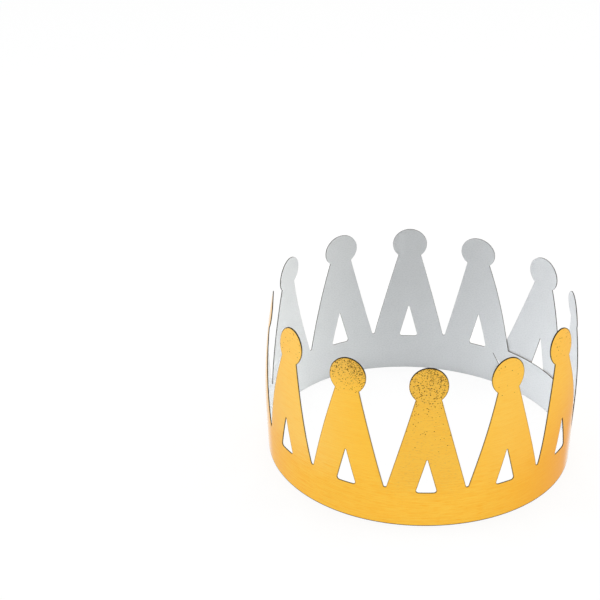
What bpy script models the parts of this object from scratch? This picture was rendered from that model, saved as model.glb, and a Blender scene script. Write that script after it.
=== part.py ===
"""A paper crown, cut and curled from one strip of gilt card.

The strip is drawn flat, u along it and v up it: twelve ball-tipped points in a row, a window in
each point, a plain tab at the left end and a hook with a tongue at the right end. A die cuts it
from a ruled sheet. It is then curled into an oval ring, so that the tab passes inside the hooked
end, and the hook's tongue goes in through a slit beside the tab and holds the ring closed.
"""
import math

import bmesh
import bpy
import numpy as np
from mathutils import Vector

MM = 0.001

# The card, and the space between its two layers where the ends lap
CARD = 0.55 * MM
LAP_GAP = 0.30 * MM

# The row of points
POINTS = 12
PITCH = 45.15 * MM
HEIGHT = 102.0 * MM
BALL_RADIUS = 10.75 * MM
NECK_WIDTH = 14.1 * MM
NOTCH_HEIGHT = 25.6 * MM
NOTCH_RADIUS = 0.85 * MM

# The three-cornered window in each point, measured to its sharp corners
WINDOW_FOOT = 23.2 * MM
WINDOW_TOP = 46.3 * MM
WINDOW_WIDTH = 11.9 * MM
WINDOW_CORNER = 1.5 * MM
WINDOW_PEAK = 0.3 * MM

# The tab at the left end, as tall as the band below the notches
TAB_LENGTH = 45.0 * MM
TAB_CORNER = 5.0 * MM

# The hook that ends the last point's flank, measured from that point's middle
HOOK_REACH = 30.1 * MM
HOOK_HEIGHT = 20.4 * MM
HOOK_CORNER = 1.5 * MM
HOOK_SLANT = math.radians(51.2)

# The tongue on the hook's slanted edge
TONGUE_FOOT = 4.6 * MM
TONGUE_WIDTH = 8.0 * MM
TONGUE_LENGTH = 10.0 * MM
TONGUE_CORNER = 2.0 * MM

# The slit that the tongue goes through, which runs on past it and closes to a thin cut
SLIT_AHEAD = 3.6 * MM
SLIT_PLAY = 1.2 * MM
SLIT_TAIL = 7.0 * MM
SLIT_SHUT = 0.4 * MM

# The ring: an oval, a little pear-shaped, with one of the points facing -Y
FRONT_POINT = 7
OVAL = 0.043
OVAL_BEARING = math.radians(-12.4)
PEAR = 0.0074
PEAR_BEARING = math.radians(1.0)
FLARE = math.radians(1.7)

# How each point in turn has been bent by hand: twisted about its middle line, in degrees, and
# curled in at the tip and leant along the strip, in millimetres
TWISTS = (-8, -1, 2, -2, 1, -3, -4, -1, -4, 7, -4, -6)
CURLS = (8.5, 6, 5.5, 5.5, 8, 7.5, 6, 6, 6, 7.5, 6.5, 4.5)
LEANS = (1, 0.5, 0.5, 0, 0, -0.5, -0.5, 0, 0, 0, -1, -1.5)

# How finely the curved card is divided
COLUMNS_PER_POINT = 8
ROWS = 6
ARC_STEP = math.radians(16.0)

LAP_STEP = CARD + LAP_GAP
LAST = (POINTS - 1) * PITCH
BALL_HEIGHT = HEIGHT - BALL_RADIUS
NECK_HEIGHT = BALL_HEIGHT - math.sqrt(BALL_RADIUS**2 - (NECK_WIDTH / 2)**2)
SLIT_OPEN = 2 * LAP_STEP


# Flat outlines

def arc(middle, radius, start, stop):
    """Points round an arc, both its ends included."""
    steps = 2 * math.ceil(abs(stop - start) / (2 * ARC_STEP))
    turns = [start + (stop - start) * step / steps for step in range(steps + 1)]
    return [middle + radius * Vector((math.cos(turn), math.sin(turn))) for turn in turns]


def round_corner(before, corner, after, radius):
    """The arc that rounds a corner between two straight edges."""
    back = (before - corner).normalized()
    onward = (after - corner).normalized()
    half = back.angle(onward) / 2
    middle = corner + (back + onward).normalized() * radius / math.sin(half)
    first = corner + back * radius / math.tan(half) - middle
    sweep = math.pi - 2 * half
    if back.cross(onward) > 0:
        sweep = -sweep
    start = math.atan2(first.y, first.x)
    return arc(middle, radius, start, start + sweep)


def hook_edge(v, ahead=0.0):
    """Where the hook's slanted edge stands at a height, or a line that far ahead of it."""
    return LAST + HOOK_REACH + ahead - (HOOK_HEIGHT - v) / math.tan(HOOK_SLANT)


def ball(index):
    """A point's round tip, from its right neck over the top to its left neck."""
    dip = math.atan2(NECK_HEIGHT - BALL_HEIGHT, NECK_WIDTH / 2)
    return arc(Vector((index * PITCH, BALL_HEIGHT)), BALL_RADIUS, dip, math.pi - dip)


def notch(index):
    """The rounded foot of the notch at a point's left, which both flanks run into."""
    middle = Vector(((index - 0.5) * PITCH, NOTCH_HEIGHT + NOTCH_RADIUS))
    to_neck = Vector((index * PITCH - NECK_WIDTH / 2, NECK_HEIGHT)) - middle
    touch = math.atan2(to_neck.y, to_neck.x) - math.acos(NOTCH_RADIUS / to_neck.length)
    return arc(middle, NOTCH_RADIUS, touch, -math.pi - touch)


def tongue():
    """The tongue, anticlockwise from its lower root on the hook's edge."""
    foot, top = TONGUE_FOOT, TONGUE_FOOT + TONGUE_WIDTH
    roots = [Vector((hook_edge(v), v)) for v in (foot, top)]
    tips = [Vector((hook_edge(v, TONGUE_LENGTH), v)) for v in (foot, top)]
    end = round_corner(roots[0], tips[0], tips[1], TONGUE_CORNER)
    end += round_corner(tips[0], tips[1], roots[1], TONGUE_CORNER)
    return [roots[0]] + end + [roots[1]]


def hook_tip():
    """The rounded corner where the last flank meets the hook's slanted edge."""
    below = Vector((hook_edge(0), 0))
    corner = Vector((hook_edge(HOOK_HEIGHT), HOOK_HEIGHT))
    neck = Vector((LAST + NECK_WIDTH / 2, NECK_HEIGHT))
    return round_corner(below, corner, neck, HOOK_CORNER)


def tab():
    """The tab, from the first point's left flank round to its lower corner."""
    neck = Vector((-NECK_WIDTH / 2, NECK_HEIGHT))
    slope = (notch(0)[0].x - neck.x) / (NECK_HEIGHT - notch(0)[0].y)
    root = Vector((neck.x + slope * (NECK_HEIGHT - NOTCH_HEIGHT), NOTCH_HEIGHT))
    end = -PITCH / 2 - TAB_LENGTH
    upper, lower = Vector((end, NOTCH_HEIGHT)), Vector((end, 0))
    outline = round_corner(neck, root, upper, NOTCH_RADIUS)
    return outline + round_corner(root, upper, lower, TAB_CORNER) + [lower]


def strip_outline():
    """The strip's edge, anticlockwise from the foot of the hook."""
    outline = [Vector((hook_edge(0), 0))] + tongue() + hook_tip()
    for index in reversed(range(POINTS)):
        outline += ball(index)
        if index > 0:
            outline += notch(index)
    return outline + tab()


def window_outline(index):
    """The window in one point, rounder at its feet than at its peak."""
    middle, half = index * PITCH, WINDOW_WIDTH / 2
    left, right = (Vector((middle + side, WINDOW_FOOT)) for side in (-half, half))
    peak = Vector((middle, WINDOW_TOP))
    outline = round_corner(peak, left, right, WINDOW_CORNER)
    outline += round_corner(left, right, peak, WINDOW_CORNER)
    return outline + round_corner(right, peak, left, WINDOW_PEAK)


def slit_outline():
    """The slit, wide where the tongue passes and thin above it."""
    foot = TONGUE_FOOT - SLIT_PLAY
    wide_top = TONGUE_FOOT + TONGUE_WIDTH + SLIT_PLAY
    halves = [(foot, SLIT_OPEN / 2), (wide_top, SLIT_OPEN / 2), (wide_top + SLIT_TAIL, SLIT_SHUT / 2)]
    turn = POINTS * PITCH
    right = [Vector((hook_edge(v, SLIT_AHEAD) - turn + half, v)) for v, half in halves]
    left = [Vector((hook_edge(v, SLIT_AHEAD) - turn - half, v)) for v, half in halves]
    return right + left[::-1]


# Cutting

def cutting_die(outlines):
    """A solid that covers the strip and is open at its holes."""
    curve = bpy.data.curves.new("cutting_die", "CURVE")
    curve.dimensions = "2D"
    curve.fill_mode = "BOTH"
    curve.extrude = 2 * CARD
    for outline in outlines:
        spline = curve.splines.new("POLY")
        spline.points.add(len(outline) - 1)
        for spot, place in zip(spline.points, outline):
            spot.co = (place.x, place.y, 0, 1)
        spline.use_cyclic_u = True
    shape = bpy.data.objects.new("cutting_die_outline", curve)
    bpy.context.collection.objects.link(shape)
    mesh = bpy.data.meshes.new_from_object(shape.evaluated_get(bpy.context.evaluated_depsgraph_get()))
    bpy.data.objects.remove(shape)
    solid = bmesh.new()
    solid.from_mesh(mesh)
    bmesh.ops.remove_doubles(solid, verts=solid.verts, dist=0.001 * MM)
    bmesh.ops.recalc_face_normals(solid, faces=solid.faces)
    solid.to_mesh(mesh)
    solid.free()
    return bpy.data.objects.new("cutting_die", mesh)


def ruled_sheet():
    """Flat card larger than the strip, ruled in columns and rows along which it can bend."""
    column = PITCH / COLUMNS_PER_POINT
    row = (HEIGHT - NOTCH_HEIGHT) / ROWS
    first = math.floor((-PITCH / 2 - TAB_LENGTH) / column) - 1
    last = math.ceil(max(hook_edge(HOOK_HEIGHT), hook_edge(HOOK_HEIGHT, TONGUE_LENGTH)) / column) + 1
    heights = [-row] + [NOTCH_HEIGHT + row * index for index in range(1, ROWS)] + [HEIGHT + row]
    block = bmesh.new()
    grid = [[block.verts.new((column * step, v, -CARD / 2)) for v in heights] for step in range(first, last + 1)]
    for near, far in zip(grid, grid[1:]):
        for index in range(len(heights) - 1):
            block.faces.new((near[index], near[index + 1], far[index + 1], far[index]))
    raised = bmesh.ops.extrude_face_region(block, geom=block.faces[:])
    top = [item for item in raised["geom"] if isinstance(item, bmesh.types.BMVert)]
    bmesh.ops.translate(block, verts=top, vec=(0, 0, CARD))
    bmesh.ops.recalc_face_normals(block, faces=block.faces)
    mesh = bpy.data.meshes.new("ruled_sheet")
    block.to_mesh(mesh)
    block.free()
    return bpy.data.objects.new("ruled_sheet", mesh)


def cut_strip():
    """The flat strip, cut from the sheet by the die."""
    outlines = [strip_outline(), slit_outline()] + [window_outline(index) for index in range(POINTS)]
    sheet, die = ruled_sheet(), cutting_die(outlines)
    for item in (sheet, die):
        bpy.context.collection.objects.link(item)
    cut = sheet.modifiers.new("cut", "BOOLEAN")
    cut.operation = "INTERSECT"
    cut.solver = "EXACT"
    cut.object = die
    mesh = bpy.data.meshes.new_from_object(sheet.evaluated_get(bpy.context.evaluated_depsgraph_get()))
    for item in (sheet, die):
        bpy.data.objects.remove(item)
    strip = bmesh.new()
    strip.from_mesh(mesh)
    bmesh.ops.remove_doubles(strip, verts=strip.verts, dist=0.01 * MM)
    bmesh.ops.dissolve_degenerate(strip, edges=strip.edges, dist=0.01 * MM)
    return strip


def crease_tongue(strip):
    """Rule the tongue on both sides of the slit, where it bends to pass through."""
    across = Vector((math.sin(HOOK_SLANT), -math.cos(HOOK_SLANT), 0))
    for side in (-SLIT_OPEN / 2, SLIT_OPEN / 2):
        faces = [face for face in strip.faces if face.calc_center_median().x > LAST]
        edges = {edge for face in faces for edge in face.edges}
        verts = {vert for face in faces for vert in face.verts}
        bmesh.ops.bisect_plane(strip, geom=[*verts, *edges, *faces], dist=0.01 * MM,
                               plane_co=(hook_edge(0, SLIT_AHEAD + side), 0, 0), plane_no=across)


# Curling

def ring_radius(bearing):
    """The ring's radius at a bearing, as a share of its mean."""
    oval = OVAL * np.cos(2 * (bearing - OVAL_BEARING))
    pear = PEAR * np.cos(3 * (bearing - PEAR_BEARING))
    return 1 + oval + pear


def ring_table():
    """Bearings round the ring, the distance travelled to each, and the ring's mean radius."""
    bearings = np.linspace(0, 2 * math.pi, 1441)
    x = ring_radius(bearings) * np.cos(bearings)
    y = ring_radius(bearings) * np.sin(bearings)
    travel = np.concatenate([[0], np.cumsum(np.hypot(np.diff(x), np.diff(y)))])
    mean = POINTS * PITCH / travel[-1]
    return bearings, travel * mean, float(mean)


BEARINGS, TRAVEL, RING = ring_table()


def ring_place(u):
    """The place on the ring of a distance along the strip, and the outward direction there."""
    start = np.interp(1.5 * math.pi, BEARINGS, TRAVEL) - FRONT_POINT * PITCH
    bearing = float(np.interp((start + u) % TRAVEL[-1], TRAVEL, BEARINGS))
    step = math.radians(0.01)
    ahead, here, behind = (
        RING * float(ring_radius(turn)) * Vector((math.cos(turn), math.sin(turn)))
        for turn in (bearing + step, bearing, bearing - step)
    )
    along = (ahead - behind).normalized()
    return here, Vector((along.y, -along.x))


def layer_offset(u, v):
    """How far the card lies off the ring: a slow spiral, and the tongue's dive through the slit."""
    spiral = LAP_STEP * (u / (POINTS * PITCH) - 0.5)
    past_slit = (u - hook_edge(v, SLIT_AHEAD)) / SLIT_OPEN + 0.5
    return spiral - 2 * LAP_STEP * min(max(past_slit, 0), 1)


def stand(flat):
    """Where a spot on the flat strip comes to stand, with its z taken through the card."""
    u, v, through = flat
    rise = max(v - NOTCH_HEIGHT, 0) / (HEIGHT - NOTCH_HEIGHT)
    turned = min(1.5 * rise, 1)
    index = min(max(round(u / PITCH), 0), POINTS - 1)
    twist = math.tan(math.radians(TWISTS[index])) * turned**2 * (3 - 2 * turned)
    place, outward = ring_place(u + LEANS[index] * MM * rise)
    offset = layer_offset(u, v) + through + v * math.sin(FLARE)
    offset += twist * (u - index * PITCH) - CURLS[index] * MM * rise**2
    place += outward * offset
    return Vector((place.x, place.y, v * math.cos(FLARE)))


# Materials

def coated(name, colour, metallic, roughness):
    """A plain material for one face of the card."""
    material = bpy.data.materials.new(name)
    material.use_nodes = True
    surface = material.node_tree.nodes["Principled BSDF"].inputs
    surface["Base Color"].default_value = (*colour, 1)
    surface["Metallic"].default_value = metallic
    surface["Roughness"].default_value = roughness
    return material


for old in list(bpy.data.objects):
    bpy.data.objects.remove(old)

body = cut_strip()
crease_tongue(body)
bmesh.ops.triangulate(body, faces=body.faces)
for facet in body.faces:
    facet.material_index = 1 if facet.normal.z < -0.5 else 0
for vertex in body.verts:
    vertex.co = stand(vertex.co)
low = [min(vertex.co[axis] for vertex in body.verts) for axis in range(3)]
high = [max(vertex.co[axis] for vertex in body.verts) for axis in range(3)]
shift = Vector((-(low[0] + high[0]) / 2, -(low[1] + high[1]) / 2, -low[2]))
bmesh.ops.translate(body, verts=body.verts, vec=shift)

crown_mesh = bpy.data.meshes.new("crown")
body.to_mesh(crown_mesh)
body.free()
crown_mesh.materials.append(coated("gilt_foil", (0.93, 0.52, 0.08), 0.7, 0.35))
crown_mesh.materials.append(coated("white_card", (0.82, 0.84, 0.86), 0.0, 0.7))
crown_mesh.shade_smooth()
crown_mesh.set_sharp_from_angle(angle=math.radians(40))
crown = bpy.data.objects.new("crown", crown_mesh)
bpy.context.collection.objects.link(crown)
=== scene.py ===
"""A paper crown: one strip of gilt card, die-cut, curled into a ring and hooked to itself."""
import math

import bpy
import numpy as np
from mathutils import Matrix, Vector
from mathutils.geometry import delaunay_2d_cdt


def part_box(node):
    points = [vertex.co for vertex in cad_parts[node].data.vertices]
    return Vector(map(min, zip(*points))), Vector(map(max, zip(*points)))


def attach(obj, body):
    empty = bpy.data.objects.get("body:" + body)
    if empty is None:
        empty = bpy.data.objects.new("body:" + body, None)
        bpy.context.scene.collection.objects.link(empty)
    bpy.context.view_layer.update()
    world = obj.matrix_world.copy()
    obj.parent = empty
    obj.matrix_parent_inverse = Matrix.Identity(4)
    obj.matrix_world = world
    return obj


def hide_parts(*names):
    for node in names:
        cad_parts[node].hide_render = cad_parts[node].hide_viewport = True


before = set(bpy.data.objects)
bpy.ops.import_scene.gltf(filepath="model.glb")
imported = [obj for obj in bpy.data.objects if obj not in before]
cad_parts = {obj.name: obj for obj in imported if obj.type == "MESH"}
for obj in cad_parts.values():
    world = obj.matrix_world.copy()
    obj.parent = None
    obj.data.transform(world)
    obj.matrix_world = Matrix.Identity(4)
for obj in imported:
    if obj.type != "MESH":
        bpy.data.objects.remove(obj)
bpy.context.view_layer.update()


# The strip: stiff card with gilt foil on its outer side, cut by a die while it lies flat, gilt side
# up, so u runs along it and v up it. Its twelve points have ball tips and three-cornered windows,
# its left end is a plain tab, and its right end is a slanted hook that carries a tongue.

MM = 0.001
CARD = 0.55 * MM
POINTS = 12
PITCH = 45.15 * MM
HEIGHT = 102.0 * MM
BALL_RADIUS = 10.75 * MM
NECK_WIDTH = 14.1 * MM
NOTCH_HEIGHT = 25.6 * MM
NOTCH_RADIUS = 0.85 * MM
WINDOW_FOOT = 23.2 * MM
WINDOW_TOP = 46.3 * MM
WINDOW_WIDTH = 11.9 * MM
WINDOW_CORNER = 1.5 * MM
WINDOW_PEAK = 0.3 * MM
TAB_LENGTH = 45.0 * MM
TAB_CORNER = 5.0 * MM
HOOK_REACH = 30.1 * MM
HOOK_HEIGHT = 20.4 * MM
HOOK_CORNER = 1.5 * MM
HOOK_SLANT = math.radians(51.2)
TONGUE_FOOT = 4.6 * MM
TONGUE_WIDTH = 8.0 * MM
TONGUE_LENGTH = 10.0 * MM
TONGUE_CORNER = 2.0 * MM
LAP_GAP = 0.30 * MM
LAP_STEP = CARD + LAP_GAP
SLIT_AHEAD = 3.6 * MM
SLIT_PLAY = 1.2 * MM
SLIT_TAIL = 7.0 * MM
SLIT_SHUT = 0.4 * MM
SLIT_OPEN = 2 * LAP_STEP
LAST = (POINTS - 1) * PITCH
BALL_HEIGHT = HEIGHT - BALL_RADIUS
NECK_HEIGHT = BALL_HEIGHT - math.sqrt(BALL_RADIUS**2 - (NECK_WIDTH / 2) ** 2)
ARC_STEP = math.radians(5.0)


def arc(middle, radius, start, stop):
    """Points round an arc, both its ends included."""
    steps = 2 * math.ceil(abs(stop - start) / (2 * ARC_STEP))
    turns = [start + (stop - start) * step / steps for step in range(steps + 1)]
    return [middle + radius * Vector((math.cos(turn), math.sin(turn))) for turn in turns]


def round_corner(before, corner, after, radius):
    """The arc that rounds a corner between two straight edges."""
    back = (before - corner).normalized()
    onward = (after - corner).normalized()
    half = back.angle(onward) / 2
    middle = corner + (back + onward).normalized() * radius / math.sin(half)
    first = corner + back * radius / math.tan(half) - middle
    sweep = math.pi - 2 * half
    if back.cross(onward) > 0:
        sweep = -sweep
    start = math.atan2(first.y, first.x)
    return arc(middle, radius, start, start + sweep)


def hook_edge(v, ahead=0.0):
    """Where the hook's slanted edge stands at a height, or a line that far ahead of it."""
    return LAST + HOOK_REACH + ahead - (HOOK_HEIGHT - v) / math.tan(HOOK_SLANT)


def ball(index):
    """A point's round tip, from its right neck over the top to its left neck."""
    dip = math.atan2(NECK_HEIGHT - BALL_HEIGHT, NECK_WIDTH / 2)
    return arc(Vector((index * PITCH, BALL_HEIGHT)), BALL_RADIUS, dip, math.pi - dip)


def notch(index):
    """The rounded foot of the notch at a point's left, which both flanks run into."""
    middle = Vector(((index - 0.5) * PITCH, NOTCH_HEIGHT + NOTCH_RADIUS))
    to_neck = Vector((index * PITCH - NECK_WIDTH / 2, NECK_HEIGHT)) - middle
    touch = math.atan2(to_neck.y, to_neck.x) - math.acos(NOTCH_RADIUS / to_neck.length)
    return arc(middle, NOTCH_RADIUS, touch, -math.pi - touch)


def tongue():
    """The tongue, anticlockwise from its lower root on the hook's edge."""
    foot, top = TONGUE_FOOT, TONGUE_FOOT + TONGUE_WIDTH
    roots = [Vector((hook_edge(v), v)) for v in (foot, top)]
    tips = [Vector((hook_edge(v, TONGUE_LENGTH), v)) for v in (foot, top)]
    end = round_corner(roots[0], tips[0], tips[1], TONGUE_CORNER)
    end += round_corner(tips[0], tips[1], roots[1], TONGUE_CORNER)
    return [roots[0]] + end + [roots[1]]


def hook_tip():
    """The rounded corner where the last flank meets the hook's slanted edge."""
    below = Vector((hook_edge(0), 0))
    corner = Vector((hook_edge(HOOK_HEIGHT), HOOK_HEIGHT))
    neck = Vector((LAST + NECK_WIDTH / 2, NECK_HEIGHT))
    return round_corner(below, corner, neck, HOOK_CORNER)


def tab():
    """The tab, from the first point's left flank round to its lower corner."""
    neck = Vector((-NECK_WIDTH / 2, NECK_HEIGHT))
    slope = (notch(0)[0].x - neck.x) / (NECK_HEIGHT - notch(0)[0].y)
    root = Vector((neck.x + slope * (NECK_HEIGHT - NOTCH_HEIGHT), NOTCH_HEIGHT))
    end = -PITCH / 2 - TAB_LENGTH
    upper, lower = Vector((end, NOTCH_HEIGHT)), Vector((end, 0))
    outline = round_corner(neck, root, upper, NOTCH_RADIUS)
    return outline + round_corner(root, upper, lower, TAB_CORNER) + [lower]


def strip_outline():
    """The strip's edge, anticlockwise from the foot of the hook."""
    outline = [Vector((hook_edge(0), 0))] + tongue() + hook_tip()
    for index in reversed(range(POINTS)):
        outline += ball(index)
        if index > 0:
            outline += notch(index)
    return outline + tab()


def window_outline(index):
    """The window in one point, rounder at its feet than at its peak."""
    middle, half = index * PITCH, WINDOW_WIDTH / 2
    left, right = (Vector((middle + side, WINDOW_FOOT)) for side in (-half, half))
    peak = Vector((middle, WINDOW_TOP))
    outline = round_corner(peak, left, right, WINDOW_CORNER)
    outline += round_corner(left, right, peak, WINDOW_CORNER)
    return outline + round_corner(right, peak, left, WINDOW_PEAK)


def slit_outline():
    """The slit beside the tab, wide where the tongue passes and thin above it."""
    foot = TONGUE_FOOT - SLIT_PLAY
    wide_top = TONGUE_FOOT + TONGUE_WIDTH + SLIT_PLAY
    halves = [(foot, SLIT_OPEN / 2), (wide_top, SLIT_OPEN / 2), (wide_top + SLIT_TAIL, SLIT_SHUT / 2)]
    turn = POINTS * PITCH
    right = [Vector((hook_edge(v, SLIT_AHEAD) - turn + half, v)) for v, half in halves]
    left = [Vector((hook_edge(v, SLIT_AHEAD) - turn - half, v)) for v, half in halves]
    return right + left[::-1]


# The cut card is divided into small triangles, closely enough to curl without a facet showing.
# A narrow rim follows every cut, where the die has pressed the gilt down over the edge. Two lines
# cross the tongue, where its dive through the slit starts and ends.

MESH_STEP = 1.41 * MM
STEP_SPARE = 0.01
LATTICE_CLEAR = 0.6 * MESH_STEP
DIVE_PLACES = 9
MERGE_GAP = 0.0001 * MM
RIM_WIDTH = 0.55 * MM
RIM_DROP = 0.07 * MM


def divided(outline, step):
    """An outline with its long sides divided evenly, as an array."""
    places = []
    for here, after in zip(outline, outline[1:] + outline[:1]):
        count = max(1, math.ceil((after - here).length / step - STEP_SPARE))
        places += [here.lerp(after, share / count)[:] for share in range(count)]
    return np.array(places)


def moved_in(outline, width):
    """The outline moved into the card, which lies at its left."""
    onward = np.roll(outline, -1, axis=0) - outline
    onward /= np.linalg.norm(onward, axis=1)[:, None]
    inward = np.stack([-onward[:, 1], onward[:, 0]], axis=1)
    both = inward + np.roll(inward, 1, axis=0)
    return outline + both * (width / (1 + np.sum(inward * np.roll(inward, 1, axis=0), axis=1)))[:, None]


def card_holds(places, outlines):
    """Which places lie on the card: inside its edge and outside its holes."""
    inside = np.zeros(len(places), bool)
    for outline in outlines:
        for (u0, v0), (u1, v1) in zip(outline, np.roll(outline, -1, axis=0)):
            if v0 != v1:
                spans = (v0 > places[:, 1]) != (v1 > places[:, 1])
                crossing = u0 + (places[:, 1] - v0) * (u1 - u0) / (v1 - v0)
                inside ^= spans & (places[:, 0] < crossing)
    return inside


def line_distance(places, lines):
    """How far each place lies from the nearest of some closed lines."""
    nearest = np.full(len(places), np.inf)
    for line in lines:
        for start, stop in zip(line, np.roll(line, -1, axis=0)):
            side = stop - start
            share = np.clip((places - start) @ side / (side @ side), 0, 1)
            gap = places - start - share[:, None] * side
            nearest = np.minimum(nearest, np.hypot(gap[:, 0], gap[:, 1]))
    return nearest


def dive_line(side):
    """A line across the tongue, some way to one side of the middle of its dive."""
    heights = np.linspace(TONGUE_FOOT, TONGUE_FOOT + TONGUE_WIDTH, DIVE_PLACES)
    return np.array([(hook_edge(v, SLIT_AHEAD + side), v) for v in heights])


def lattice_on_card(cuts, lines):
    """The places of an even lattice that lie on the card and clear of some closed lines."""
    columns = np.arange(cuts[0][:, 0].min(), cuts[0][:, 0].max(), MESH_STEP)
    rows = np.arange(MESH_STEP, HEIGHT, MESH_STEP)
    lattice = np.array([(u, v) for u in columns for v in rows])
    lattice = lattice[card_holds(lattice, cuts)]
    return lattice[line_distance(lattice, lines) > LATTICE_CLEAR]


def triangles_between(loops, open_lines, loose):
    """Triangles over some places, none of them across a loop or an open line."""
    places, sides = [], []
    for loop in loops:
        sides += [(len(places) + step, len(places) + (step + 1) % len(loop)) for step in range(len(loop))]
        places += loop.tolist()
    for line in open_lines:
        sides += [(len(places) + step, len(places) + step + 1) for step in range(len(line) - 1)]
        places += line.tolist()
    places += loose.tolist()
    corners = [Vector(place) for place in places]
    corners, _, triangles, *_ = delaunay_2d_cdt(corners, sides, [], 0, MERGE_GAP)
    return np.array([corner[:] for corner in corners]), np.array([triangle[:] for triangle in triangles])


def cut_free(places, triangles, cuts):
    """Only the triangles that lie on the card, all anticlockwise, and the places that they use."""
    triangles = triangles[card_holds(places[triangles].mean(axis=1), cuts)]
    used = np.unique(triangles)
    renumber = np.full(len(places), -1)
    renumber[used] = np.arange(len(used))
    places, triangles = places[used], renumber[triangles]
    first = places[triangles[:, 1]] - places[triangles[:, 0]]
    second = places[triangles[:, 2]] - places[triangles[:, 0]]
    clockwise = first[:, 0] * second[:, 1] - first[:, 1] * second[:, 0] < 0
    triangles[clockwise] = triangles[clockwise][:, ::-1]
    return places, triangles


cuts = [divided(strip_outline(), MESH_STEP), divided(slit_outline()[::-1], MESH_STEP)]
cuts += [divided(window_outline(index)[::-1], MESH_STEP) for index in range(POINTS)]
rims = [moved_in(cut, RIM_WIDTH) for cut in cuts]
dive_lines = [dive_line(side) for side in (-SLIT_OPEN / 2, SLIT_OPEN / 2)]
there_and_back = [np.vstack([line, line[-2:0:-1]]) for line in dive_lines]
lattice = lattice_on_card(cuts, rims + there_and_back)
sheet_places, sheet_faces = triangles_between(cuts + rims, dive_lines, lattice)
flat_places, flat_faces = cut_free(sheet_places, sheet_faces, cuts)
from_edge = np.clip(line_distance(flat_places, cuts) / RIM_WIDTH, 0, 1)


# The strip is then curled by hand into an oval ring that flares, its points curling back in at the
# top. The tab passes inside the hooked end, and the tongue dives through the slit beside the tab
# and holds the ring, with no glue.

FRONT_POINT = 7
FRONT_BEARING = 1.5 * math.pi
OVAL = 0.043
OVAL_BEARING = math.radians(-12.4)
PEAR = 0.0074
PEAR_BEARING = math.radians(1.0)
FLARE = math.radians(1.7)
RING_STEPS = 1440
RING_NUDGE = math.radians(0.01)

# Each point in turn is bent a little by hand: twisted about its middle line, in degrees, and
# curled in at the tip and leant along the strip, in millimetres. The twist is full from two
# thirds of the way up.

FULL_TWIST = 2 / 3
TWISTS = np.radians((-8, -1, 2, -2, 1, -3, -4, -1, -4, 7, -4, -6))
CURLS = MM * np.array((8.5, 6, 5.5, 5.5, 8, 7.5, 6, 6, 6, 7.5, 6.5, 4.5))
LEANS = MM * np.array((1, 0.5, 0.5, 0, 0, -0.5, -0.5, 0, 0, 0, -1, -1.5))


def ring_radius(bearing):
    """The ring's radius at a bearing, as a share of its mean."""
    oval = OVAL * np.cos(2 * (bearing - OVAL_BEARING))
    pear = PEAR * np.cos(3 * (bearing - PEAR_BEARING))
    return 1 + oval + pear


def ring_line(bearing):
    """The ring's course through some bearings, for a mean radius of one."""
    radius = ring_radius(bearing)
    return np.stack([radius * np.cos(bearing), radius * np.sin(bearing)], axis=-1)


def ring_course():
    """Bearings round the ring, how far along it each of them lies, and the ring's mean radius."""
    bearings = np.linspace(0, 2 * math.pi, RING_STEPS + 1)
    steps = np.diff(ring_line(bearings), axis=0)
    travel = np.concatenate([[0], np.cumsum(np.hypot(steps[:, 0], steps[:, 1]))])
    mean_radius = POINTS * PITCH / travel[-1]
    return bearings, travel * mean_radius, mean_radius


def lapped(u, v):
    """How far out the ring's one spiral lap carries a place, less the tongue's dive through the slit."""
    spiral = LAP_STEP * (u / (POINTS * PITCH) - 0.5)
    dive = 2 * LAP_STEP * np.clip((u - hook_edge(v, SLIT_AHEAD)) / SLIT_OPEN + 0.5, 0, 1)
    return spiral - dive


def bent(u, index, rise):
    """How far out a point's twist and curl carry a place on it, some share of the way up."""
    turned = np.minimum(rise / FULL_TWIST, 1)
    twist = np.tan(TWISTS[index]) * turned**2 * (3 - 2 * turned)
    return twist * (u - index * PITCH) - CURLS[index] * rise**2


def curled(flat, through):
    """Where places on the flat strip come to stand, each some way through the card."""
    u, v = flat[:, 0], flat[:, 1]
    index = np.clip(np.round(u / PITCH), 0, POINTS - 1).astype(int)
    rise = np.maximum(v - NOTCH_HEIGHT, 0) / (HEIGHT - NOTCH_HEIGHT)
    bearings, travel, mean_radius = ring_course()
    start = np.interp(FRONT_BEARING, bearings, travel) - FRONT_POINT * PITCH
    bearing = np.interp((start + u + LEANS[index] * rise) % travel[-1], travel, bearings)
    along = ring_line(bearing + RING_NUDGE) - ring_line(bearing - RING_NUDGE)
    along /= np.linalg.norm(along, axis=1)[:, None]
    outward = np.stack([along[:, 1], -along[:, 0]], axis=1)
    offset = through + v * math.sin(FLARE) + lapped(u, v) + bent(u, index, rise)
    ground = mean_radius * ring_line(bearing) + outward * offset[:, None]
    return np.column_stack([ground, v * math.cos(FLARE)])


# The curled card has two faces and a wall along every cut, each with its own finish. It stands in
# the middle of the solid's box, on the solid's lower edge.

GILT, WHITE, WALL = range(3)
SHARP_TURN = math.radians(40)


def cut_sides(faces):
    """The sides of some triangles that only one of them has: those along the cuts."""
    sides = np.vstack([faces[:, [0, 1]], faces[:, [1, 2]], faces[:, [2, 0]]]).tolist()
    opposite = {(stop, start) for start, stop in sides}
    return [(start, stop) for start, stop in sides if (start, stop) not in opposite]


count = len(flat_places)
gilt_depth = CARD / 2 - RIM_DROP * (1 - from_edge) ** 2
white_depth = np.full(count, -CARD / 2)
through = np.concatenate([gilt_depth, white_depth])
both_sides = np.vstack([flat_places, flat_places])
stood = curled(both_sides, through)
card_low, card_high = (np.array(corner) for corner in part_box("crown"))
shift = (card_low + card_high) / 2 - (stood.min(axis=0) + stood.max(axis=0)) / 2
shift[2] = card_low[2] - stood[:, 2].min()
stood += shift

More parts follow.
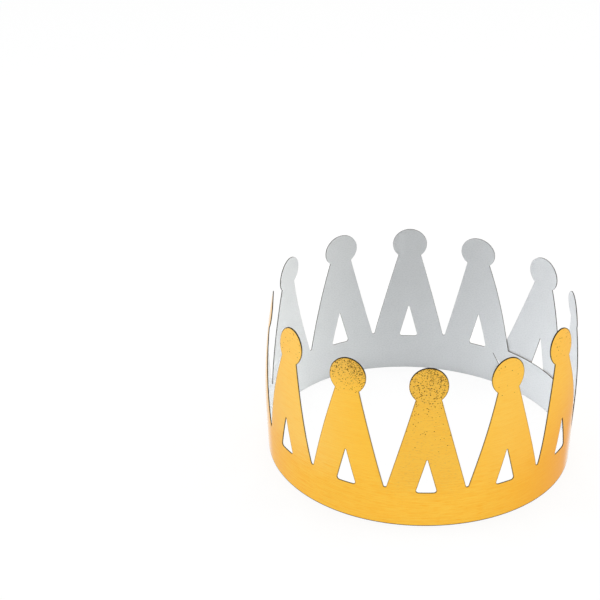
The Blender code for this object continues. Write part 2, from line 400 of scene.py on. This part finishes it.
walls = cut_sides(flat_faces)
faces = flat_faces.tolist() + (flat_faces[:, ::-1] + count).tolist()
faces += [(stop, start, start + count, stop + count) for start, stop in walls]
strip_mesh = bpy.data.meshes.new("gilt_strip")
strip_mesh.from_pydata(stood.tolist(), [], faces)
kinds = [GILT] * len(flat_faces) + [WHITE] * len(flat_faces) + [WALL] * len(walls)
strip_mesh.polygons.foreach_set("material_index", kinds)
flat_place = strip_mesh.attributes.new("flat_place", "FLOAT_VECTOR", "POINT")
flat_place.data.foreach_set("vector", np.column_stack([both_sides, through]).ravel())
rim = strip_mesh.attributes.new("from_edge", "FLOAT", "POINT")
rim.data.foreach_set("value", np.concatenate([from_edge, from_edge]))
strip_mesh.shade_smooth()
strip_mesh.set_sharp_from_angle(angle=SHARP_TURN)
strip = bpy.data.objects.new("gilt_strip", strip_mesh)
bpy.context.collection.objects.link(strip)
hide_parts("crown")
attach(strip, "root")


# The gilt side: metal foil laminated to the card, finely brushed along the strip and slightly uneven
# in tone, with painted reflections that make it paler or deeper in places. Dark specks gather at the
# tips of some points, and the foil is rubbed brown along the cuts, where the die has crushed it, with a
# painted contact shadow along its lower edge.

class Signal:
    """A shader socket that Python's arithmetic joins to Math nodes."""

    def __init__(self, tree, socket=None):
        self.tree = tree
        self.socket = socket

    def node(self, kind, settings=None, inputs=None, output=0):
        """Add a node, set it up, feed its inputs by name or number, and give one of its outputs."""
        added = self.tree.nodes.new(kind)
        for name, setting in (settings or {}).items():
            setattr(added, name, setting)
        for name, value in (inputs or {}).items():
            if isinstance(value, Signal):
                self.tree.links.new(value.socket, added.inputs[name])
            else:
                added.inputs[name].default_value = value
        return Signal(self.tree, added.outputs[output]) if added.outputs else None

    def reckon(self, operation, *terms):
        """A Math node on some values, this one among them."""
        return self.node("ShaderNodeMath", {"operation": operation}, dict(enumerate(terms)))

    def __add__(self, other):
        return self.reckon("ADD", self, other)

    def __radd__(self, other):
        return self.reckon("ADD", other, self)

    def __sub__(self, other):
        return self.reckon("SUBTRACT", self, other)

    def __rsub__(self, other):
        return self.reckon("SUBTRACT", other, self)

    def __mul__(self, other):
        return self.reckon("MULTIPLY", self, other)

    def __rmul__(self, other):
        return self.reckon("MULTIPLY", other, self)

    def __lt__(self, other):
        return self.reckon("LESS_THAN", self, other)

    def __gt__(self, other):
        return self.reckon("GREATER_THAN", self, other)

    def __abs__(self):
        return self.reckon("ABSOLUTE", self)

    def past_whole(self):
        """How far the value is past a whole number."""
        return self.reckon("FRACT", self)

    def either(self, other):
        """The larger of two masks."""
        return self.reckon("MAXIMUM", self, other)

    def between(self, low, high):
        """How far the value has come from low to high, eased, from 0 to 1."""
        limits = {"Value": self, "From Min": low, "From Max": high}
        return self.node("ShaderNodeMapRange", {"interpolation_type": "SMOOTHSTEP"}, limits)

    def tint(self, colour, under, strength=1.0):
        """A colour laid over another, by this value and at most by the strength.

        Inputs 6 and 7 and output 2 of the Mix node are its colour ones.
        """
        mix = {"Factor": self * strength, 6: under, 7: colour}
        return self.node("ShaderNodeMix", {"data_type": "RGBA"}, mix, 2)


def start_material(name):
    """An empty material, and a signal with no socket that adds nodes to it."""
    material = bpy.data.materials.new(name)
    material.use_nodes = True
    material.node_tree.nodes.clear()
    return material, Signal(material.node_tree)


def finish_material(shader, surface):
    """Join a surface to the material's output."""
    shader.node("ShaderNodeOutputMaterial", inputs={"Surface": surface})


def strip_place(shader):
    """The place on the flat strip that each place on the card came from."""
    return shader.node("ShaderNodeAttribute", {"attribute_name": "flat_place"}, output="Vector")


def rim_share(shader):
    """How far a place is across the rim, from 0 on the cut to 1 where the rim ends."""
    return shader.node("ShaderNodeAttribute", {"attribute_name": "from_edge"}, output="Fac")


def stretched(shader, place, marks):
    """The place on the flat strip, counted in marks in each direction."""
    return shader.node("ShaderNodeVectorMath", {"operation": "MULTIPLY"}, {0: place, 1: marks})


def grain(shader, place, marks, detail):
    """Noise about 0.5, with so many marks to the metre along the strip, up it and through the card."""
    values = {"Vector": stretched(shader, place, marks), "Scale": 1.0, "Detail": detail, "Roughness": 0.55}
    return shader.node("ShaderNodeTexNoise", inputs=values)


GOLD = (0.995, 0.580, 0.062, 1)
YELLOW_GOLD = (0.99, 0.615, 0.07, 1)
# The pale gold is a painted reflection tone. The deep gold is the foil's own deeper tone, and also a
# painted reflection tone.
PALE_REFLECTION_GOLD = (0.98, 0.66, 0.19, 1)
DEEP_GOLD_AND_PAINTED_REFLECTION = (0.95, 0.44, 0.018, 1)
SPECK = (0.028, 0.014, 0.004, 1)
RUBBED = (0.30, 0.21, 0.11, 1)
# The bared colour is the dark core, and along the lower edge also a painted contact shadow.
BARED_CORE_AND_CONTACT_SHADOW = (0.02, 0.012, 0.006, 1)
EDGE_TINT = (0.82, 0.70, 0.66, 1)
BRUSH_MARKS = (60, 1350, 0)
SCRATCH_MARKS = (160, 1800, 0)
DASH_MARKS = (520, 1900, 0)
MOTTLE_MARKS = (330, 420, 0)
CLOUD_MARKS = (30, 30, 0)
SPECK_MARKS = (1500, 1750, 0)
GILT_RELIEF = 0.05 * MM

gilt, foil = start_material("gilt_foil")
place = strip_place(foil)
edge = rim_share(foil)
across = foil.node("ShaderNodeSeparateXYZ", inputs={"Vector": place}, output="X")
height = foil.node("ShaderNodeSeparateXYZ", inputs={"Vector": place}, output="Y")


def near_front(points_right, full, none):
    """A mask round a line up the strip, so many points to the right of the front point.

    It is 1 within one share of the pitch from the line, and 0 past the other share.
    """
    distance = abs(across - (FRONT_POINT + points_right) * PITCH)
    return 1 - distance.between(full * PITCH, none * PITCH)


def above(low, high):
    """A mask that comes in up the strip, from 0 at one height to 1 at another, in millimetres."""
    return height.between(low * MM, high * MM)


# The gold is mottled all over. Its paler and deeper tones are painted reflections: paler on both sides
# of the front point, more so on its left, and deeper further to the right, low down most of all.

mottled = grain(foil, place, MOTTLE_MARKS, 2)
cloudy = grain(foil, place, CLOUD_MARKS, 2)
painted_pale_reflection = (near_front(-2.4, 0.6, 1.7) + near_front(1.6, 0.6, 1.3) * 0.4) * above(14, 36)
painted_deep_reflection = near_front(2.6, 0.4, 2.3) * (1 - above(20, 75) * 0.8)
colour = mottled.between(0.45, 0.75).tint(YELLOW_GOLD, GOLD, strength=0.35)
colour = painted_pale_reflection.tint(PALE_REFLECTION_GOLD, colour, strength=0.55)
colour = painted_deep_reflection.tint(DEEP_GOLD_AND_PAINTED_REFLECTION, colour, strength=0.85)
colour = cloudy.between(0.45, 0.8).tint(DEEP_GOLD_AND_PAINTED_REFLECTION, colour, strength=0.12)

# Long brush strokes and shorter scratches show most on the band below the points.

brushed = grain(foil, place, BRUSH_MARKS, 3)
scratched = grain(foil, place, SCRATCH_MARKS, 2)
strokes = brushed.between(0.4, 0.62) * 0.4 + scratched.between(0.52, 0.66) * 0.5
strokes = strokes * (1 - above(22, 45) * 0.6)
colour = strokes.tint(DEEP_GOLD_AND_PAINTED_REFLECTION, colour)

# The front point and the one to its left are marked most, above all at their tips, which reach
# lower on the front point. That one is dull above the band, and the other is worn at its tip.
# Short brown dashes lie on all the foil, most of them on these two points.

marked = near_front(-0.5, 0.55, 1.1) * 0.92 + 0.08
tips = (height + near_front(0, 0.3, 0.7) * 6 * MM).between(77 * MM, 97 * MM)
dull = near_front(0, 0.2, 0.75) * above(15, 35)
worn = near_front(-1, 0.2, 0.5) * above(84, 100)
dashed = grain(foil, place, DASH_MARKS, 2)
dashes = dashed.between(0.54, 0.7) * (0.05 + dull * 0.22 + marked * tips * 0.15)
colour = (dull * 0.08 + marked * tips * 0.07 + worn * 0.12).tint(RUBBED, colour)
colour = dashes.tint(RUBBED, colour)

# Dark specks crowd on the same tips, more of them right of each point's middle line, with a few
# smears among them. Each cell of the Voronoi pattern draws one lot for whether it holds a speck,
# and another for the speck's size.

aside = (across * (1 / PITCH) + 0.5).past_whole() - 0.5
rightward = aside.between(-0.08, 0.16)
dotted = {"Vector": stretched(foil, place, SPECK_MARKS), "Scale": 1.0}
from_middle = foil.node("ShaderNodeTexVoronoi", inputs=dotted, output="Distance")
lots = foil.node("ShaderNodeTexVoronoi", inputs=dotted, output="Color")
speck_lot = foil.node("ShaderNodeSeparateColor", inputs={"Color": lots}, output="Red")
size_lot = foil.node("ShaderNodeSeparateColor", inputs={"Color": lots}, output="Green")
chance = marked * (tips * (rightward * 0.12 + 0.42) + above(91, 101) * 0.12)
chance = chance + marked * dull * above(42, 75) * 0.04
speck_size = 0.23 + (tips + worn * 0.6) * 0.07 + size_lot * 0.22
specks = (from_middle < speck_size) * (speck_lot < chance)
smears = dashed.between(0.52, 0.66) * rightward * above(84, 97) * marked
colour = (specks * (0.78 + size_lot * 0.22)).tint(SPECK, colour)
colour = smears.tint(SPECK, colour, strength=0.6)

# The foil is rubbed brown along every cut and partly worn through to the dark core, most of all
# round the tips. Along the lower edge the dark rim is deepened by a painted contact shadow with the table.

rubbed = 1 - edge.between(0.1, 1.0)
tip_fringe_and_painted_contact_shadow = above(92, 97) + 1 - above(0.5, 1.0)
bared_rim_and_painted_contact_shadow = (1 - edge.between(0.6, 1.0)) * (0.3 + tip_fringe_and_painted_contact_shadow * 0.7)
colour = rubbed.tint(RUBBED, colour, strength=0.4)
colour = bared_rim_and_painted_contact_shadow.tint(BARED_CORE_AND_CONTACT_SHADOW, colour)

# A thin clear lacquer lies over the foil, but not on its rubbed rim and hardly on the specks. It
# shines most where the foil turns away.

glancing = foil.node("ShaderNodeLayerWeight", inputs={"Blend": 0.5}, output="Facing").between(0.78, 0.94)
relief = brushed * 0.5 + scratched * 0.3 + mottled * 0.2
bump = foil.node("ShaderNodeBump", inputs={"Strength": 0.12, "Distance": GILT_RELIEF, "Height": relief})
surface = foil.node("ShaderNodeBsdfPrincipled", inputs={
    "Base Color": colour,
    "Metallic": 1 - rubbed * 0.5,
    "Roughness": 0.34 + brushed * 0.14 + specks * 0.2,
    "Specular IOR Level": 0.15,
    "Specular Tint": EDGE_TINT,
    "Coat Weight": (1 - rubbed) * (1 - specks * 0.8) * (0.22 + glancing * 0.78),
    "Coat Roughness": 0.12,
    "Normal": bump,
})
finish_material(foil, surface)
strip_mesh.materials.append(gilt)


# The white side: the card's own uncoated liner, which lies against the head. It is cool in tone,
# with a faint fibre and slightly uneven patches, and it is crushed grey along the cuts.

WHITE_CARD = (0.765, 0.778, 0.788, 1)
GREY_FIBRE = (0.63, 0.65, 0.66, 1)
CRUSHED_GREY = (0.30, 0.30, 0.30, 1)
FIBRE_MARKS = (900, 1500, 0)
PATCH_MARKS = (90, 90, 0)
FIBRE_RELIEF = 0.04 * MM

liner, card = start_material("white_card")
place = strip_place(card)
edge = rim_share(card)
fibre = grain(card, place, FIBRE_MARKS, 3)
patches = grain(card, place, PATCH_MARKS, 3)
greyed = fibre.between(0.4, 0.65) * 0.42 + patches.between(0.45, 0.8) * 0.15
crushed = 1 - edge.between(0.1, 0.7)
colour = greyed.tint(GREY_FIBRE, WHITE_CARD)
colour = crushed.tint(CRUSHED_GREY, colour, strength=0.3)
bump = card.node("ShaderNodeBump", inputs={"Strength": 0.25, "Distance": FIBRE_RELIEF, "Height": fibre})
surface = card.node("ShaderNodeBsdfPrincipled", inputs={
    "Base Color": colour,
    "Roughness": 0.72 + fibre * 0.1,
    "Normal": bump,
})
finish_material(card, surface)
strip_mesh.materials.append(liner)


# The cut edge: the bare brown core of the card between the foil and the white liner, as the die
# leaves it. Its plies show as fine streaks that run along the edge.

CORE = (0.026, 0.018, 0.008, 1)
CORE_DARK = (0.010, 0.007, 0.004, 1)
PLY_MARKS = (1800, 1800, 9000)

cut_edge, core = start_material("cut_edge")
plies = grain(core, strip_place(core), PLY_MARKS, 2)
surface = core.node("ShaderNodeBsdfPrincipled", inputs={
    "Base Color": plies.between(0.35, 0.7).tint(CORE, CORE_DARK),
    "Roughness": 0.85,
    "Specular IOR Level": 0.1,
})
finish_material(core, surface)
strip_mesh.materials.append(cut_edge)


# The table: a wide sheet of matt white board that the crown stands on, a hair below its lower edge.
# It glows for the camera, also where it is seen in the gilt, so that it comes out white, and its
# matt part keeps the crown's shadow.

TABLE_REACH = 6.0
TABLE_GAP = 0.2 * MM
TABLE_WHITE = (0.71, 0.71, 0.71, 1)
TABLE_GLOW = 0.9
PURE_WHITE = (1, 1, 1, 1)
SIGHT_RAYS = ("Is Camera Ray", "Is Glossy Ray", "Is Transmission Ray")


def in_sight(shader):
    """1 for what the camera sees, straight, in a reflection or through a clear piece, else 0."""
    straight, mirrored, passed = (shader.node("ShaderNodeLightPath", output=ray) for ray in SIGHT_RAYS)
    return straight.either(mirrored.either(passed))


table_paint, paint = start_material("white_table")
matt = paint.node("ShaderNodeBsdfDiffuse", inputs={"Color": TABLE_WHITE})
glow = paint.node("ShaderNodeEmission", inputs={"Color": PURE_WHITE, "Strength": 1.0})
board = paint.node("ShaderNodeMixShader", inputs={0: in_sight(paint) * TABLE_GLOW, 1: matt, 2: glow})
finish_material(paint, board)
table_mesh = bpy.data.meshes.new("white_table")
quarters = [(-1, -1), (1, -1), (1, 1), (-1, 1)]
table_mesh.from_pydata([(TABLE_REACH * x, TABLE_REACH * y, 0) for x, y in quarters], [], [(0, 1, 2, 3)])
table_mesh.materials.append(table_paint)
table = bpy.data.objects.new("white_table", table_mesh)
table.location.z = float(card_low[2]) - TABLE_GAP
bpy.context.collection.objects.link(table)


# The room: dim white air that the camera sees as plain white, and three large soft lamps, one at
# each side and one overhead. The left lamp is slightly cool and the right one slightly warm.

AIR_LIGHT = 0.26
LAMP_SIZE = 1.0
LAMP_AIM = Vector((0, 0, 0.05))


def soft_lamp(name, place, power, colour):
    """A large square lamp that faces the middle of the crown, its power in watts."""
    light = bpy.data.lights.new(name, "AREA")
    light.shape = "SQUARE"
    light.size = LAMP_SIZE
    light.energy = power
    light.color = colour
    lamp = bpy.data.objects.new(name, light)
    lamp.location = place
    lamp.rotation_euler = (LAMP_AIM - Vector(place)).to_track_quat("-Z", "Y").to_euler()
    bpy.context.collection.objects.link(lamp)


soft_lamp("left_softbox", place=(-1.4, 0.1, 1.1), power=17.3, colour=(0.95, 0.965, 1.0))
soft_lamp("right_softbox", place=(1.4, 0.1, 1.1), power=18.2, colour=(1.0, 1.0, 0.95))
soft_lamp("over_softbox", place=(0, 0.2, 1.7), power=24, colour=(0.99, 1.0, 1.0))

world = bpy.data.worlds.new("soft_room")
world.use_nodes = True
world.node_tree.nodes.clear()
room = Signal(world.node_tree)
dim_air = room.node("ShaderNodeBackground", inputs={"Color": PURE_WHITE, "Strength": AIR_LIGHT})
white_air = room.node("ShaderNodeBackground", inputs={"Color": PURE_WHITE, "Strength": 1.0})
air = room.node("ShaderNodeMixShader", inputs={0: in_sight(room), 1: dim_air, 2: white_air})
room.node("ShaderNodeOutputWorld", inputs={"Surface": air})
bpy.context.scene.world = world


# The camera: a long lens on a stand in front of the crown, looking down on it, so that the crown
# stands low and to the right in the frame. The focal length and film width are in millimetres.

CAMERA_PLACE = MM * Vector((-58.8, -747.3, 527.5))
CAMERA_HEADING = math.radians(0.811)
CAMERA_DIP = math.radians(29.878)
CAMERA_ROLL = math.radians(-1.0)
FOCAL_LENGTH = 90.42
FILM_WIDTH = 36.0
NEAR_CLIP = 50 * MM

lens = bpy.data.cameras.new("camera")
lens.lens = FOCAL_LENGTH
lens.sensor_width = FILM_WIDTH
lens.clip_start = NEAR_CLIP
camera = bpy.data.objects.new("camera", lens)
heading = Matrix.Rotation(CAMERA_HEADING, 4, "Z")
dip = Matrix.Rotation(math.pi / 2 - CAMERA_DIP, 4, "X")
roll = Matrix.Rotation(CAMERA_ROLL, 4, "Z")
camera.matrix_world = Matrix.Translation(CAMERA_PLACE) @ heading @ dip @ roll
bpy.context.collection.objects.link(camera)
bpy.context.scene.camera = camera
bpy.context.scene.view_settings.view_transform = "Standard"
